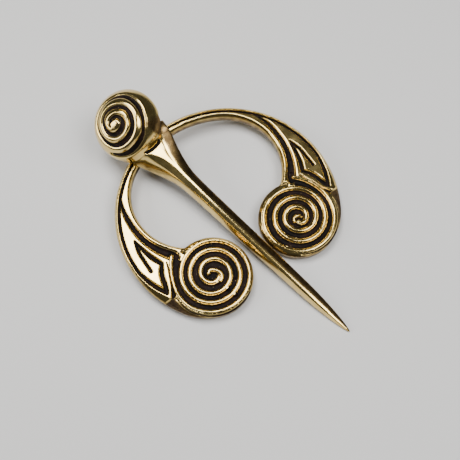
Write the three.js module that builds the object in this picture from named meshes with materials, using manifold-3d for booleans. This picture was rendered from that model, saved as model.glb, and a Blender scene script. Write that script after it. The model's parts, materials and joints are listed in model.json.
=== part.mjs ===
// Penannular (open-ring) fibula brooch, cast in bronze: an open hoop with two round spiral
// terminals, and a long pin with a domed spiral head whose loop rides on the hoop.
// Millimetres, +Z up. The hoop's gap faces -Y. The brooch lies on its back: the terminals,
// the loop under the head and the pin's point touch the surface it lies on.

import * as THREE from 'three';
import { mergeVertices } from 'three/addons/utils/BufferGeometryUtils.js';
import Module from 'manifold-3d';

const wasm = await Module();
wasm.setup();

const DEG = Math.PI / 180;
const FULL_TURN = 2 * Math.PI;

// ---- driving dimensions of the ring, in its own plane with its top face at z = 0 ----
const RING_RADIUS = 20;            // outer edge of the hoop
const RING_THICKNESS = 2.4;
const EDGE_BEVEL = 0.6;            // worn round edge, all along the outline
const ARM_CENTRE = [3.8, 6.7];     // centre of the inner edge of one arm, where the hoop swells
const ARM_RADIUS = 10.4;
const TERMINAL_CENTRE = [9.1, -8.4];
const TERMINAL_RADIUS = 7;
const SHOULDER_RADIUS = 10;        // arc that leads the outer edge round into the terminal

// ---- carving of the ring ----
const CARVING_DEPTH = 0.55;
const CUT_CLEARANCE = 0.4;         // how far a cutter stands above the face it cuts
const LINE_RADIUS = 19.15;         // carved line that follows the outer edge
const LINE_WIDTH = 0.45;
const BRANCH_CENTRE = [3.85, 6.8]; // second line, which follows the inner edge
const BRANCH_RADIUS = 11.65;
const SPIRAL_PITCH = 1.66;
const SPIRAL_GROOVE_WIDTH = 0.75;
const SPIRAL_CENTRE = [8.9, -8.2];
const SPIRAL_OUTER = 6.05;         // groove's radius where it passes the terminal's outer side
const SPIRAL_TURNS = 3.34;
const SPIRAL_TAIL = 63 * DEG;      // how far the groove runs on from there to the corner
const SPIRAL_OPENING = 0.86;       // how far the tail moves off the spiral by its end
const LEAF_LINE_WIDTH = 0.55;
const LINE_TOP_SPREAD = 1.15;      // a line is wider than its nominal width above the face
const LINE_FLOOR_SHARE = 0.75;     // and narrower at its floor

// Leaf between the hoop and the terminal: its blind arm, the arm that ends at the corner, and
// the edge that runs from the corner down to the tip.
const LEAF_BLIND_ARM = [[17.25, -2.1], [17.3, 0], [17.2, 2], [16.7, 4.4]];
const LEAF_INNER_ARM = [[16.65, 4.4], [16.25, 2], [15.65, -0.3], [14.9, -2.1]];
const LEAF_FOOT = [[14.85, -1.8], [15.4, -3.2], [16.2, -4.8], [17.3, -6.9]];
// Thin line between the leaf's rim and the spiral, opening into the hollow under the tip.
const TIP_HOLLOW = [[14.1, -1.6], [14.9, -4], [16, -6.6], [16.6, -9.4], [15.9, -12]];

// ---- driving dimensions of the pin, with its axis along x, the point at +x, the dome at +z ----
const HOOP_MIDDLE_RADIUS = 19.05;  // middle of the hoop's section, where the loop rides
const LOOP_POLAR = 105.6 * DEG;    // where on the hoop the loop sits
const PIN_HEIGHT = 1.6;            // pin axis above the ring's top face, at the loop
const PIN_HEADING = -78.7 * DEG;   // direction of the point in the ring's plane
const PIN_SLOPE = 3.36 * DEG;      // how steeply the shank falls to its point
const PIN_ROLL = 30 * DEG;         // the heavy head leans over onto the hoop
const PIN_REACH = 48.8;            // loop to point
const DOME_RADIUS = 6.6;
const DOME_OFFSET = -3.8;          // dome centre behind the loop
const DOME_BASE = 1.25;            // flat underside of the dome above the pin axis
const DOME_CARVING_DEPTH = 0.6;
const RIM_GROOVE_ANGLE = 68.5 * DEG;
const RIM_GROOVE_WIDTH = 0.7;
const DOME_SPIRAL_PITCH = 17.7 * DEG;
const DOME_SPIRAL_GROOVE = 0.95;
const DOME_SPIRAL_LEAN = -5 * DEG; // spiral centre set back from the dome's top
const DOME_SPIRAL_START = -175 * DEG;
const DOME_SPIRAL_BLIND = 0.42;    // turns' worth of plain boss in the middle of the spiral
const DOME_SPIRAL_TURNS = 3;
const DOME_FOOT_ROUND = 0.4;
const LOOP_HOLE_RADIUS = 2.45;
const LOOP_THICKNESS = 1;
const LOOP_WIDTH = 2.1;
const KEEL_SIZE = [2.7, 1.35, 1.3]; // half-axes of the swelling that joins the loop to the head
const KEEL_HEIGHT = 0.3;
const SHANK_HALF_WIDTH = 1.85;     // at the loop, as if there were no neck
const SHANK_TAPER = 0.0145;        // half-width lost for each millimetre towards the point
const POINT_LENGTH = 12;
const POINT_FULLNESS = 0.65;
const NECK_LENGTH = 9.5;
const NECK_SPREAD = 0.33;          // half-width gained for each millimetre of neck
const CREST_LENGTH = 8.6;
const CREST_SPREAD = 0.36;
const CREST_SHARE = 0.38;          // of the half-width, where the shank is plain
const HEAD_START = [0.8, 3.2];     // where the neck's underside draws up, clear of the hoop
const HEAD_OVERLAP = 0.2;          // how far the drawn-up neck reaches into the dome

// ---- how the ring lies ----
const RING_TILT = 3.45 * DEG;      // the loop under the hoop lifts the side away from the gap

const BRONZE = { color: 0xb8924a, roughness: 0.28, metalness: 1 };

// ---------------------------------------------------------------- solids

function toManifold(geometry) {
  const bare = geometry.clone();
  bare.deleteAttribute('normal');
  bare.deleteAttribute('uv');
  const merged = mergeVertices(bare, 1e-5);
  return new wasm.Manifold(new wasm.Mesh({
    numProp: 3,
    vertProperties: new Float32Array(merged.attributes.position.array),
    triVerts: new Uint32Array(merged.index.array),
  }));
}

function toGeometry(solid) {
  const mesh = solid.getMesh();
  const geometry = new THREE.BufferGeometry();
  geometry.setAttribute('position', new THREE.BufferAttribute(new Float32Array(mesh.vertProperties), 3));
  geometry.setIndex(new THREE.BufferAttribute(new Uint32Array(mesh.triVerts), 1));
  geometry.computeVertexNormals();
  return geometry;
}

// Moves every vertex of a geometry to place(x, y, z).
function reshape(geometry, place) {
  const position = geometry.attributes.position;
  const vertex = new THREE.Vector3();
  for (let i = 0; i < position.count; i++) {
    vertex.fromBufferAttribute(position, i);
    position.setXYZ(i, ...place(vertex.x, vertex.y, vertex.z));
  }
  return geometry;
}

// Turns a solid's faces the right way round after a mirror.
function flipFaces(geometry) {
  const index = geometry.index;
  for (let i = 0; i < index.count; i += 3) {
    const second = index.getX(i + 1);
    index.setX(i + 1, index.getX(i + 2));
    index.setX(i + 2, second);
  }
  return geometry;
}

// ---------------------------------------------------------------- ring

const polar = (centre, radius, angle) => [
  centre[0] + radius * Math.cos(angle),
  centre[1] + radius * Math.sin(angle),
];

// Point on two circles at once, the one further from the middle of the ring.
function circlesMeet(centreA, radiusA, centreB, radiusB) {
  const dx = centreB[0] - centreA[0];
  const dy = centreB[1] - centreA[1];
  const distance = Math.hypot(dx, dy);
  const along = (radiusA ** 2 - radiusB ** 2 + distance ** 2) / (2 * distance);
  const across = Math.sqrt(radiusA ** 2 - along ** 2);
  return [1, -1]
    .map((side) => [
      centreA[0] + (dx * along - side * dy * across) / distance,
      centreA[1] + (dy * along + side * dx * across) / distance,
    ])
    .sort((p, q) => q[0] - p[0])[0];
}

const angleFrom = (centre, point) => Math.atan2(point[1] - centre[1], point[0] - centre[0]);

// Outline of the ring, anticlockwise, starting at the top of the right arm's inner edge.
function ringOutline() {
  const armDistance = Math.hypot(...ARM_CENTRE);
  const armAngle = Math.atan2(ARM_CENTRE[1], ARM_CENTRE[0]);
  const innerRadius = armDistance + ARM_RADIUS;
  const junction = circlesMeet(ARM_CENTRE, ARM_RADIUS, TERMINAL_CENTRE, TERMINAL_RADIUS);

  // centre of the shoulder arc: inside the hoop's circle and around the terminal's
  const terminalDistance = Math.hypot(...TERMINAL_CENTRE);
  const a = RING_RADIUS - SHOULDER_RADIUS;
  const b = SHOULDER_RADIUS - TERMINAL_RADIUS;
  const turn = Math.acos((a * a + terminalDistance ** 2 - b * b) / (2 * a * terminalDistance));
  const shoulderAngle = Math.atan2(TERMINAL_CENTRE[1], TERMINAL_CENTRE[0]) + turn;
  const shoulderCentre = polar([0, 0], a, shoulderAngle);
  const shoulderEnd = angleFrom(shoulderCentre, TERMINAL_CENTRE);

  // right half: inner edge down to the terminal, round the terminal, up the outer edge
  const half = [];
  const arc = (centre, radius, from, to, steps) => {
    for (let i = 0; i < steps; i++) {
      half.push(polar(centre, radius, from + (to - from) * i / steps));
    }
  };
  arc([0, 0], innerRadius, 90 * DEG, armAngle, 5);
  arc(ARM_CENTRE, ARM_RADIUS, armAngle, angleFrom(ARM_CENTRE, junction), 12);
  arc(TERMINAL_CENTRE, TERMINAL_RADIUS, angleFrom(TERMINAL_CENTRE, junction),
    shoulderEnd + FULL_TURN, 22);
  arc(shoulderCentre, SHOULDER_RADIUS, shoulderEnd, shoulderAngle, 6);
  arc([0, 0], RING_RADIUS, shoulderAngle, 90 * DEG, 22);
  half.push([0, RING_RADIUS]);

  const mirrored = half.slice(1, -1).reverse().map(([x, y]) => [-x, y]);
  return [...half, ...mirrored];
}

function ringBlank() {
  const shape = new THREE.Shape(ringOutline().map(([x, y]) => new THREE.Vector2(x, y)));
  const blank = new THREE.ExtrudeGeometry(shape, {
    depth: RING_THICKNESS - 2 * EDGE_BEVEL,
    bevelThickness: EDGE_BEVEL,
    bevelSize: EDGE_BEVEL,
    bevelOffset: -EDGE_BEVEL,
    bevelSegments: 2,
  });
  blank.translate(0, 0, EDGE_BEVEL - RING_THICKNESS);
  return blank;
}

// A cutter for one carved line in the ring's face: a bar bent along a plane path, narrower
// at the bottom. path(t) gives [x, y] for t from 0 to 1, and width may be a number or a
// function of t.
function lineCutter(path, width, steps, mirror) {
  const widthAt = typeof width === 'function' ? width : () => width;
  const bar = new THREE.BoxGeometry(1, 1, 1, steps, 1, 1);
  reshape(bar, (x, y, z) => {
    const t = x + 0.5;
    const step = 0.25 / steps;
    const before = path(Math.max(t - step, 0));
    const after = path(Math.min(t + step, 1));
    const length = Math.hypot(after[0] - before[0], after[1] - before[1]);
    const draft = z > 0 ? LINE_TOP_SPREAD : LINE_FLOOR_SHARE;
    const offset = y * widthAt(t) * draft / length;
    const [px, py] = path(t);
    return [
      (px - (after[1] - before[1]) * offset) * mirror,
      py + (after[0] - before[0]) * offset,
      z > 0 ? CUT_CLEARANCE : -CARVING_DEPTH,
    ];
  });
  if (mirror < 0) flipFaces(bar);
  return toManifold(bar);
}

// A smooth path through a few points of the carved design.
function through(points) {
  const curve = new THREE.CatmullRomCurve3(points.map(([x, y]) => new THREE.Vector3(x, y, 0)));
  return (t) => {
    const point = curve.getPoint(t);
    return [point.x, point.y];
  };
}

const arcPath = (centre, radius, from, to) => (t) => polar(centre, radius, from + (to - from) * t);

// Outer line from the top of the hoop down to the tip of the leaf.
function outerLine(t) {
  const angle = (90.5 - 112 * t) * DEG;
  const below = Math.max(0, -angle);
  return polar([0, 0], LINE_RADIUS - 4 * below * below, angle);
}

// Spiral groove of the terminal: from its middle round to the outer side, then opening out to
// the corner where the terminal meets the hoop's inner edge.
function spiralLine(t) {
  const angle = -SPIRAL_TURNS * FULL_TURN * (1 - t) + SPIRAL_TAIL * t;
  const opening = SPIRAL_OPENING * (Math.max(0, angle) / SPIRAL_TAIL) ** 2.5;
  return polar(SPIRAL_CENTRE, SPIRAL_OUTER + SPIRAL_PITCH * angle / FULL_TURN + opening, angle);
}

// The carved lines of one side, on the right for mirror = 1 and on the left for -1.
function carvedLines(mirror) {
  return [
    lineCutter(outerLine, LINE_WIDTH, 30, mirror),
    lineCutter(arcPath(BRANCH_CENTRE, BRANCH_RADIUS, 30 * DEG, -44 * DEG),
      (t) => 0.45 + 0.65 * t, 14, mirror),
    lineCutter(spiralLine, SPIRAL_GROOVE_WIDTH, 60, mirror),
    lineCutter(through(LEAF_BLIND_ARM), LEAF_LINE_WIDTH, 6, mirror),
    lineCutter(through(LEAF_INNER_ARM), LEAF_LINE_WIDTH, 6, mirror),
    lineCutter(through(LEAF_FOOT), LEAF_LINE_WIDTH, 6, mirror),
    lineCutter(through(TIP_HOLLOW), (t) => 0.3 + 0.9 * t * t, 12, mirror),
  ];
}

function makeRing() {
  const cutters = [...carvedLines(1), ...carvedLines(-1)];
  return toManifold(ringBlank()).subtract(wasm.Manifold.union(cutters));
}

// ---------------------------------------------------------------- pin

// Pin frame to ring frame.
const pinPlace = new THREE.Matrix4()
  .makeRotationFromEuler(new THREE.Euler(PIN_ROLL, PIN_SLOPE, PIN_HEADING, 'ZYX'))
  .setPosition(
    HOOP_MIDDLE_RADIUS * Math.cos(LOOP_POLAR),
    HOOP_MIDDLE_RADIUS * Math.sin(LOOP_POLAR),
    PIN_HEIGHT,
  );

// Hinge line of the pin: the middle of the hoop's section and the hoop's tangent, in the pin frame.
const fromRing = pinPlace.clone().invert();
const hingePoint = new THREE.Vector3(
  HOOP_MIDDLE_RADIUS * Math.cos(LOOP_POLAR),
  HOOP_MIDDLE_RADIUS * Math.sin(LOOP_POLAR),
  -RING_THICKNESS / 2,
).applyMatrix4(fromRing);
const hingeAxis = new THREE.Vector3(-Math.sin(LOOP_POLAR), Math.cos(LOOP_POLAR), 0)
  .transformDirection(fromRing);

// Where the hoop's middle crosses the pin's own plane of symmetry.
const loopCentre = hingePoint.clone()
  .addScaledVector(hingeAxis, -hingePoint.y / hingeAxis.y);

function dome() {
  const foot = Math.acos(DOME_BASE / DOME_RADIUS);
  const groove = RIM_GROOVE_WIDTH / 2 / DOME_RADIUS;
  const profile = [];
  const addArc = (from, to, steps, radius) => {
    for (let i = 0; i <= steps; i++) {
      const angle = from + (to - from) * i / steps;
      profile.push(new THREE.Vector2(radius * Math.sin(angle), radius * Math.cos(angle)));
    }
  };
  const footRadius = DOME_RADIUS * Math.sin(foot);
  profile.push(new THREE.Vector2(0, DOME_BASE));
  profile.push(new THREE.Vector2(footRadius - DOME_FOOT_ROUND, DOME_BASE));
  addArc(foot - DOME_FOOT_ROUND / DOME_RADIUS, RIM_GROOVE_ANGLE + groove, 1, DOME_RADIUS);
  addArc(RIM_GROOVE_ANGLE + groove / 2, RIM_GROOVE_ANGLE - groove / 2, 1,
    DOME_RADIUS - DOME_CARVING_DEPTH);
  addArc(RIM_GROOVE_ANGLE - groove, 0, 11, DOME_RADIUS);
  profile[profile.length - 1].x = 0;
  const lathe = new THREE.LatheGeometry(profile, 40);
  return lathe.rotateX(Math.PI / 2).translate(DOME_OFFSET, 0, 0);
}

// Cutter for the dome's spiral groove: a bar bent along a spiral over the sphere.
function domeSpiralCutter() {
  const steps = 54;
  const lean = new THREE.Matrix4().makeRotationY(DOME_SPIRAL_LEAN);
  const along = (t) => {
    const turned = DOME_SPIRAL_TURNS * t;
    const angle = DOME_SPIRAL_PITCH * (turned + DOME_SPIRAL_BLIND);
    const around = DOME_SPIRAL_START - turned * FULL_TURN;
    return new THREE.Vector3(
      Math.sin(angle) * Math.cos(around), Math.sin(angle) * Math.sin(around), Math.cos(angle),
    );
  };
  const bar = new THREE.BoxGeometry(1, 1, 1, steps, 1, 1);
  reshape(bar, (x, y, z) => {
    const t = x + 0.5;
    const step = 0.25 / steps;
    const middle = along(t);
    const tangent = along(Math.min(t + step, 1)).sub(along(Math.max(t - step, 0))).normalize();
    const across = new THREE.Vector3().crossVectors(middle, tangent);
    const draft = z > 0 ? LINE_TOP_SPREAD : LINE_FLOOR_SHARE;
    const height = z > 0 ? CUT_CLEARANCE : -DOME_CARVING_DEPTH;
    const point = middle.multiplyScalar(DOME_RADIUS + height)
      .addScaledVector(across, y * DOME_SPIRAL_GROOVE * draft)
      .applyMatrix4(lean);
    return [point.x + DOME_OFFSET, point.y, point.z];
  });
  return toManifold(bar);
}

// Rises smoothly from nothing to x.
const softRamp = (x) => Math.log(1 + Math.exp(x));

// Sizes of the pin's section at a distance from the loop. Close to the loop the section draws
// up into the dome, clear of the hoop.
function pinSection(x) {
  const left = Math.min(1, Math.max(0, (PIN_REACH - x) / POINT_LENGTH));
  const taper = (1 - (1 - left) ** 2) ** POINT_FULLNESS;
  const drawn = 1 - THREE.MathUtils.smoothstep(x, ...HEAD_START);
  const plain = (SHANK_HALF_WIDTH - SHANK_TAPER * x) * taper;
  const insideDome = DOME_BASE + HEAD_OVERLAP;
  return {
    halfWidth: plain + NECK_SPREAD * softRamp(NECK_LENGTH - x) * taper - 0.3 * drawn,
    waist: insideDome * drawn,
    top: 0.98 * plain - 0.12 * softRamp(4 - x),
    bottom: insideDome * drawn - 0.92 * plain * (1 - drawn),
    crest: (CREST_SHARE * plain + CREST_SPREAD * softRamp(CREST_LENGTH - x)) * taper - 0.8 * drawn,
  };
}

// Neck and shank: sections lofted along x, from inside the dome to the point. A section has a
// flat crest, sloping flanks down to its waist, and a round underside.
function shank() {
  const around = 16;
  const crestShare = 0.4;
  const stations = [-0.5, 0.8, 1.9, 3, 4, 5.1, 6.2, 7.3, 8.4, 9.6, 11, 13, 16, 20, 25, 30, 34,
    37, 39.5, 41.5, 43.2, 44.7, 46, 47.1, 48, 48.6, PIN_REACH - 0.03];
  const rod = new THREE.CylinderGeometry(1, 1, 1, around, stations.length - 1);
  return reshape(rod, (x, y, z) => {
    const along = stations[Math.round((0.5 - y) * (stations.length - 1))];
    const { halfWidth, waist, top, bottom, crest } = pinSection(along);
    if (Math.hypot(x, z) < 0.5) return [along, 0, (top + bottom) / 2];
    if (z < 0) return [along, halfWidth * x, waist - (bottom - waist) * z];
    const flank = Math.max(0, (Math.abs(x) - crestShare) / (1 - crestShare));
    const across = crest * Math.min(1, Math.abs(x) / crestShare) + (halfWidth - crest) * flank;
    const height = flank > 0 ? Math.min(1, 1.25 * Math.abs(z) ** 0.9) : 1;
    return [along, Math.sign(x) * across, waist + (top - waist) * height];
  });
}

// Keel that joins the loop to the underside of the head.
function keel() {
  const sphere = new THREE.SphereGeometry(1, 16, 8);
  return sphere.scale(...KEEL_SIZE).translate(loopCentre.x, 0, KEEL_HEIGHT);
}

// Loop under the head, round the hoop: a ring with an oval section.
function loop() {
  const radius = LOOP_HOLE_RADIUS + LOOP_THICKNESS / 2;
  const section = [];
  const sides = 12;
  for (let i = 0; i <= sides; i++) {
    const angle = i / sides * FULL_TURN;
    section.push(new THREE.Vector2(
      radius + LOOP_THICKNESS / 2 * Math.cos(angle),
      LOOP_WIDTH / 2 * Math.sin(angle),
    ));
  }
  section[sides].copy(section[0]);
  return new THREE.LatheGeometry(section, 32).translate(loopCentre.x, 0, loopCentre.z);
}

function makePin() {
  const head = toManifold(dome()).subtract(domeSpiralCutter());
  return wasm.Manifold.union([head, toManifold(shank()), toManifold(keel()), toManifold(loop())]);
}

// ---------------------------------------------------------------- the brooch

const ring = new THREE.Mesh(toGeometry(makeRing()), new THREE.MeshStandardMaterial(BRONZE));
ring.name = 'ring';

const pin = new THREE.Mesh(toGeometry(makePin()), new THREE.MeshStandardMaterial(BRONZE));
pin.name = 'pin';
pin.applyMatrix4(pinPlace);

const brooch = new THREE.Group();
brooch.add(ring, pin);
brooch.rotation.x = RING_TILT;
brooch.updateMatrixWorld(true);

// The origin is on the surface the brooch lies on, under the middle of its box.
const box = new THREE.Box3().setFromObject(brooch, true);
const middle = box.getCenter(new THREE.Vector3());
const group = new THREE.Group();
group.add(brooch);
brooch.position.set(-middle.x, -middle.y, -box.min.z);
group.updateMatrixWorld(true);

export default group;
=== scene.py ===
# Looks of the penannular fibula brooch: a cast ring with spiral terminals, and a long pin with a
# domed spiral head whose loop rides on the hoop. Lengths are in millimetres in the two design
# frames (the ring's and the pin's), and become metres when a mesh is placed in the row frame.
import json
import math

import bpy
import numpy as np
import openvdb
from mathutils import Matrix, Vector
from mathutils.geometry import delaunay_2d_cdt


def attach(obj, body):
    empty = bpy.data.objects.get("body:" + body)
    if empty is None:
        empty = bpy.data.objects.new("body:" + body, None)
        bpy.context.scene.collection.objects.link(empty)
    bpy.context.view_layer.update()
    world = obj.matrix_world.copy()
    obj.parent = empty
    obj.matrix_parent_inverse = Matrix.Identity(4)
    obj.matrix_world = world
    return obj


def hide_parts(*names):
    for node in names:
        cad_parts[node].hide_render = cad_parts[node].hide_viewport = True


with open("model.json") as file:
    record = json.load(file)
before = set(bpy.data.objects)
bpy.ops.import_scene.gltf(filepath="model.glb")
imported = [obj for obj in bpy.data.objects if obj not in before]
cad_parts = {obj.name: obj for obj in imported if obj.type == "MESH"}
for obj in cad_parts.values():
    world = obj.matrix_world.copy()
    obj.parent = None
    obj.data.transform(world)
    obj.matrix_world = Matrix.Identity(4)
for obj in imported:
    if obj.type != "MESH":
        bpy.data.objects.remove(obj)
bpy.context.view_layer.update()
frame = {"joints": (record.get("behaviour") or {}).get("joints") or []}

MM = 0.001
TURN = 2 * math.pi

# ---- the ring, in its own plane with its top face at z = 0 ----
RING_RADIUS = 20.0
RING_THICKNESS = 2.4
EDGE_ROUND = 0.6
ARM_CENTRE = np.array([3.8, 6.7])
ARM_RADIUS = 10.4
TERMINAL_CENTRE = np.array([9.1, -8.4])
TERMINAL_RADIUS = 7.0
SHOULDER_RADIUS = 10.0
JUNCTION_FILLET = 0.7

CARVING_DEPTH = 0.6
OUTER_LINE_RADIUS = 19.15
RIM_START = 0.12                 # inset of the line where the carved face's mesh ends
BACK_UNEVENNESS = 0.03
# tarnish of the back, which is also painted shade on the underside
BACK_TARNISH_AND_PAINTED_SHADE = 0.6
# rows of the edge from the face down, as (inset, tarnish with painted shade), which follow the rim's own
# height
EDGE_ROWS = [(0.05, 0.3), (0.0, 0.55)]
# rows of the side wall and of the back's round edge, as (inset, height, tarnish with painted shade)
WALL_ROWS = [(0.0, -1.2, 0.75), (0.0, -1.8, 0.75), (0.13, -2.17, 0.6), (0.35, -2.35, 0.55),
             (0.65, -2.4, 0.55)]

# ---- the pin, with its axis along x, the point at +x and the dome at +z ----
HOOP_MIDDLE_RADIUS = 19.05
PIN_HEIGHT = 1.6
PIN_HEADING = math.radians(-78.7)
PIN_SLOPE = math.radians(3.36)
PIN_ROLL = math.radians(30)
PIN_REACH = 48.8
DOME_RADIUS = 6.6
DOME_CENTRE = np.array([-3.93, 0.3, 0.0])
DOME_BASE = 1.25
DOME_CARVING_DEPTH = 0.5
DOME_POLE = np.array([-0.0767, 0.0767, 0.9941])
LOOP_HOLE_RADIUS = 2.45
LOOP_THICKNESS = 1.0
LOOP_WIDTH = 2.1
# the keel that joins the loop to the dome: half of its length, width and depth, and its height
KEEL_LENGTH, KEEL_WIDTH, KEEL_DEPTH = 2.7, 1.35, 1.3
KEEL_HEIGHT = 0.3
# the sooty groove where the neck's face meets the dome
GROOVE_WIDTH = 0.22
GROOVE_DEPTH = 0.4

# ---- fineness of the meshes ----
RING_GRID = 0.09
BACK_GRID = 0.9
SLOPE_STEP = 0.02                # reach over which the carved face's slope is taken
PIN_VOXEL = 0.1
PIN_STRETCH = 3.0                # how much longer the pin's cells are along the shank
PIN_HEAD_END = 8.5               # where the longer cells begin
PIN_EASING = 8                   # cells over which they reach their full length
FIELD_STEP = 0.012               # the same for the pin's field


# ------------------------------------------------------------------ places in the row frame

def design_places():
    """Matrices from the ring's and the pin's design frames (mm) to the row frame (m)."""
    joint = frame["joints"][0]
    axis = Vector(joint["axis"])
    tilt = math.atan2(-axis.z, -axis.y)
    loop_polar = math.pi / 2 + math.asin(math.hypot(axis.y, axis.z))
    hinge = Vector((
        HOOP_MIDDLE_RADIUS * math.cos(loop_polar),
        HOOP_MIDDLE_RADIUS * math.sin(loop_polar),
        -RING_THICKNESS / 2,
    ))
    turn = Matrix.Rotation(tilt, 4, "X")
    origin = Vector(joint["pos_m"]) / MM - turn @ hinge
    ring_place = Matrix.Scale(MM, 4) @ Matrix.Translation(origin) @ turn
    pin_turn = (
        Matrix.Rotation(PIN_HEADING, 4, "Z")
        @ Matrix.Rotation(PIN_SLOPE, 4, "Y")
        @ Matrix.Rotation(PIN_ROLL, 4, "X")
    )
    pin_in_ring = Matrix.Translation((hinge.x, hinge.y, PIN_HEIGHT)) @ pin_turn
    # the hoop's middle where it crosses the pin's own plane of symmetry: the loop's centre
    to_pin = pin_in_ring.inverted()
    point = to_pin @ hinge
    tangent = to_pin.to_3x3() @ Vector((-math.sin(loop_polar), math.cos(loop_polar), 0))
    loop_centre = point - tangent * (point.y / tangent.y)
    return ring_place, ring_place @ pin_in_ring, loop_centre


RING_PLACE, PIN_PLACE, LOOP_CENTRE = design_places()


# ------------------------------------------------------------------ helpers for shapes

def ripple(points, scale, seed, waves=14):
    """Smooth noise of about unit size: a few sine waves in seeded directions."""
    rng = np.random.RandomState(seed)
    directions = rng.normal(size=(waves, points.shape[-1]))
    directions /= np.linalg.norm(directions, axis=1)[:, None]
    lengths = scale * rng.uniform(0.7, 1.6, waves)
    phases = rng.uniform(0, TURN, waves)
    total = np.zeros(points.shape[:-1])
    for direction, length, phase in zip(directions, lengths, phases):
        total += np.sin(points @ direction * (TURN / length) + phase)
    return total / math.sqrt(waves / 2)


def smoothstep(low, high, x):
    t = np.clip((x - low) / (high - low), 0, 1)
    return t * t * (3 - 2 * t)


def soft_min(a, b, blend):
    """The smaller of two fields, with a round fillet where they meet."""
    h = np.clip(0.5 + 0.5 * (b - a) / blend, 0, 1)
    return b * (1 - h) + a * h - blend * h * (1 - h)


def soft_max(a, b, blend):
    return -soft_min(-a, -b, blend)


def catmull(points, samples=90):
    """A smooth path through a few points of the carved design."""
    points = np.array(points, float)
    ends = [2 * points[0] - points[1], 2 * points[-1] - points[-2]]
    knots = np.vstack([ends[0], points, ends[1]])
    place = np.linspace(0, len(points) - 1, samples)
    index = np.minimum(place.astype(int), len(points) - 2)
    t = (place - index)[:, None]
    a, b, c, d = (knots[index + k] for k in range(4))
    return 0.5 * (2 * b + (c - a) * t + (2 * a - 5 * b + 4 * c - d) * t ** 2
                  + (3 * b - a - 3 * c + d) * t ** 3)


def arc(centre, radius, start, end, samples=60):
    angles = np.linspace(start, end, samples)
    return centre + radius * np.stack([np.cos(angles), np.sin(angles)], 1)


def nearest_on_path(points, path, values=None, block=4000):
    """Distance to a path, and there the interpolated value, or else the nearest place itself."""
    start = path[:-1]
    step = path[1:] - start
    length2 = (step ** 2).sum(1)
    carried = path if values is None else values
    distance = np.empty(len(points))
    found = np.empty((len(points),) + carried.shape[1:])
    for first in range(0, len(points), block):
        part = points[first:first + block]
        away = part[:, None] - start[None]
        t = np.clip((away * step).sum(2) / length2, 0, 1)
        gap = np.linalg.norm(away - step * t[..., None], axis=2)
        best = gap.argmin(1)
        row = np.arange(len(part))
        along = t[row, best]
        if carried.ndim > 1:
            along = along[:, None]
        distance[first:first + block] = gap[row, best]
        found[first:first + block] = carried[best] * (1 - along) + carried[best + 1] * along
    return distance, found


# ------------------------------------------------------------------ the ring's outline

def circles_meet(centre_a, radius_a, centre_b, radius_b):
    """Of the two points that lie on both circles, the one with the larger x."""
    apart = centre_b - centre_a
    distance = np.linalg.norm(apart)
    along = (radius_a ** 2 - radius_b ** 2 + distance ** 2) / (2 * distance)
    across = math.sqrt(radius_a ** 2 - along ** 2)
    unit = apart / distance
    side = np.array([-unit[1], unit[0]])
    candidates = [centre_a + unit * along + side * across * s for s in (1, -1)]
    return max(candidates, key=lambda p: p[0])


def angle_from(centre, point):
    return math.atan2(point[1] - centre[1], point[0] - centre[0])


def ring_outline():
    """Closed outline of the ring, anticlockwise, with a small fillet under each arm."""
    arm_distance = np.linalg.norm(ARM_CENTRE)
    arm_angle = math.atan2(ARM_CENTRE[1], ARM_CENTRE[0])
    fillet = circles_meet(ARM_CENTRE, ARM_RADIUS - JUNCTION_FILLET,
                          TERMINAL_CENTRE, TERMINAL_RADIUS + JUNCTION_FILLET)
    leave_arm = angle_from(ARM_CENTRE, fillet)
    meet_terminal = angle_from(TERMINAL_CENTRE, fillet)

    terminal_distance = np.linalg.norm(TERMINAL_CENTRE)
    a = RING_RADIUS - SHOULDER_RADIUS
    b = SHOULDER_RADIUS - TERMINAL_RADIUS
    turn = math.acos((a * a + terminal_distance ** 2 - b * b) / (2 * a * terminal_distance))
    shoulder_angle = math.atan2(TERMINAL_CENTRE[1], TERMINAL_CENTRE[0]) + turn
    shoulder_centre = a * np.array([math.cos(shoulder_angle), math.sin(shoulder_angle)])
    shoulder_end = angle_from(shoulder_centre, TERMINAL_CENTRE)

    half = np.vstack([
        arc(np.zeros(2), arm_distance + ARM_RADIUS, math.pi / 2, arm_angle, 24)[:-1],
        arc(ARM_CENTRE, ARM_RADIUS, arm_angle, leave_arm, 60)[:-1],
        arc(fillet, JUNCTION_FILLET, leave_arm, meet_terminal - math.pi, 12)[:-1],
        arc(TERMINAL_CENTRE, TERMINAL_RADIUS, meet_terminal, shoulder_end + TURN, 90)[:-1],
        arc(shoulder_centre, SHOULDER_RADIUS, shoulder_end, shoulder_angle, 30)[:-1],
        arc(np.zeros(2), RING_RADIUS, shoulder_angle, math.pi / 2, 80),
    ])
    mirrored = half[1:-1][::-1] * [-1, 1]
    return np.vstack([half, mirrored])


def signed_distance(points, outline):
    """Distance to the closed outline, positive inside, and the nearest place on it."""
    closed = np.vstack([outline, outline[:1]])
    distance, place = nearest_on_path(points, closed)
    inside = np.zeros(len(points), bool)
    for (x0, y0), (x1, y1) in zip(closed[:-1], closed[1:]):
        if y0 == y1:
            continue
        crosses = (points[:, 1] < y0) != (points[:, 1] < y1)
        reach = x0 + (points[:, 1] - y0) * (x1 - x0) / (y1 - y0)
        inside ^= crosses & (points[:, 0] < reach)
    return np.where(inside, distance, -distance), place


# ------------------------------------------------------------------ the ring's carving

def knots_to_line(knots, samples=60):
    """A smooth carved line from knots of (x, y, half-width): its path, and its half-widths."""
    line = catmull(knots, samples)
    return line[:, :2], line[:, 2]


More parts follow.
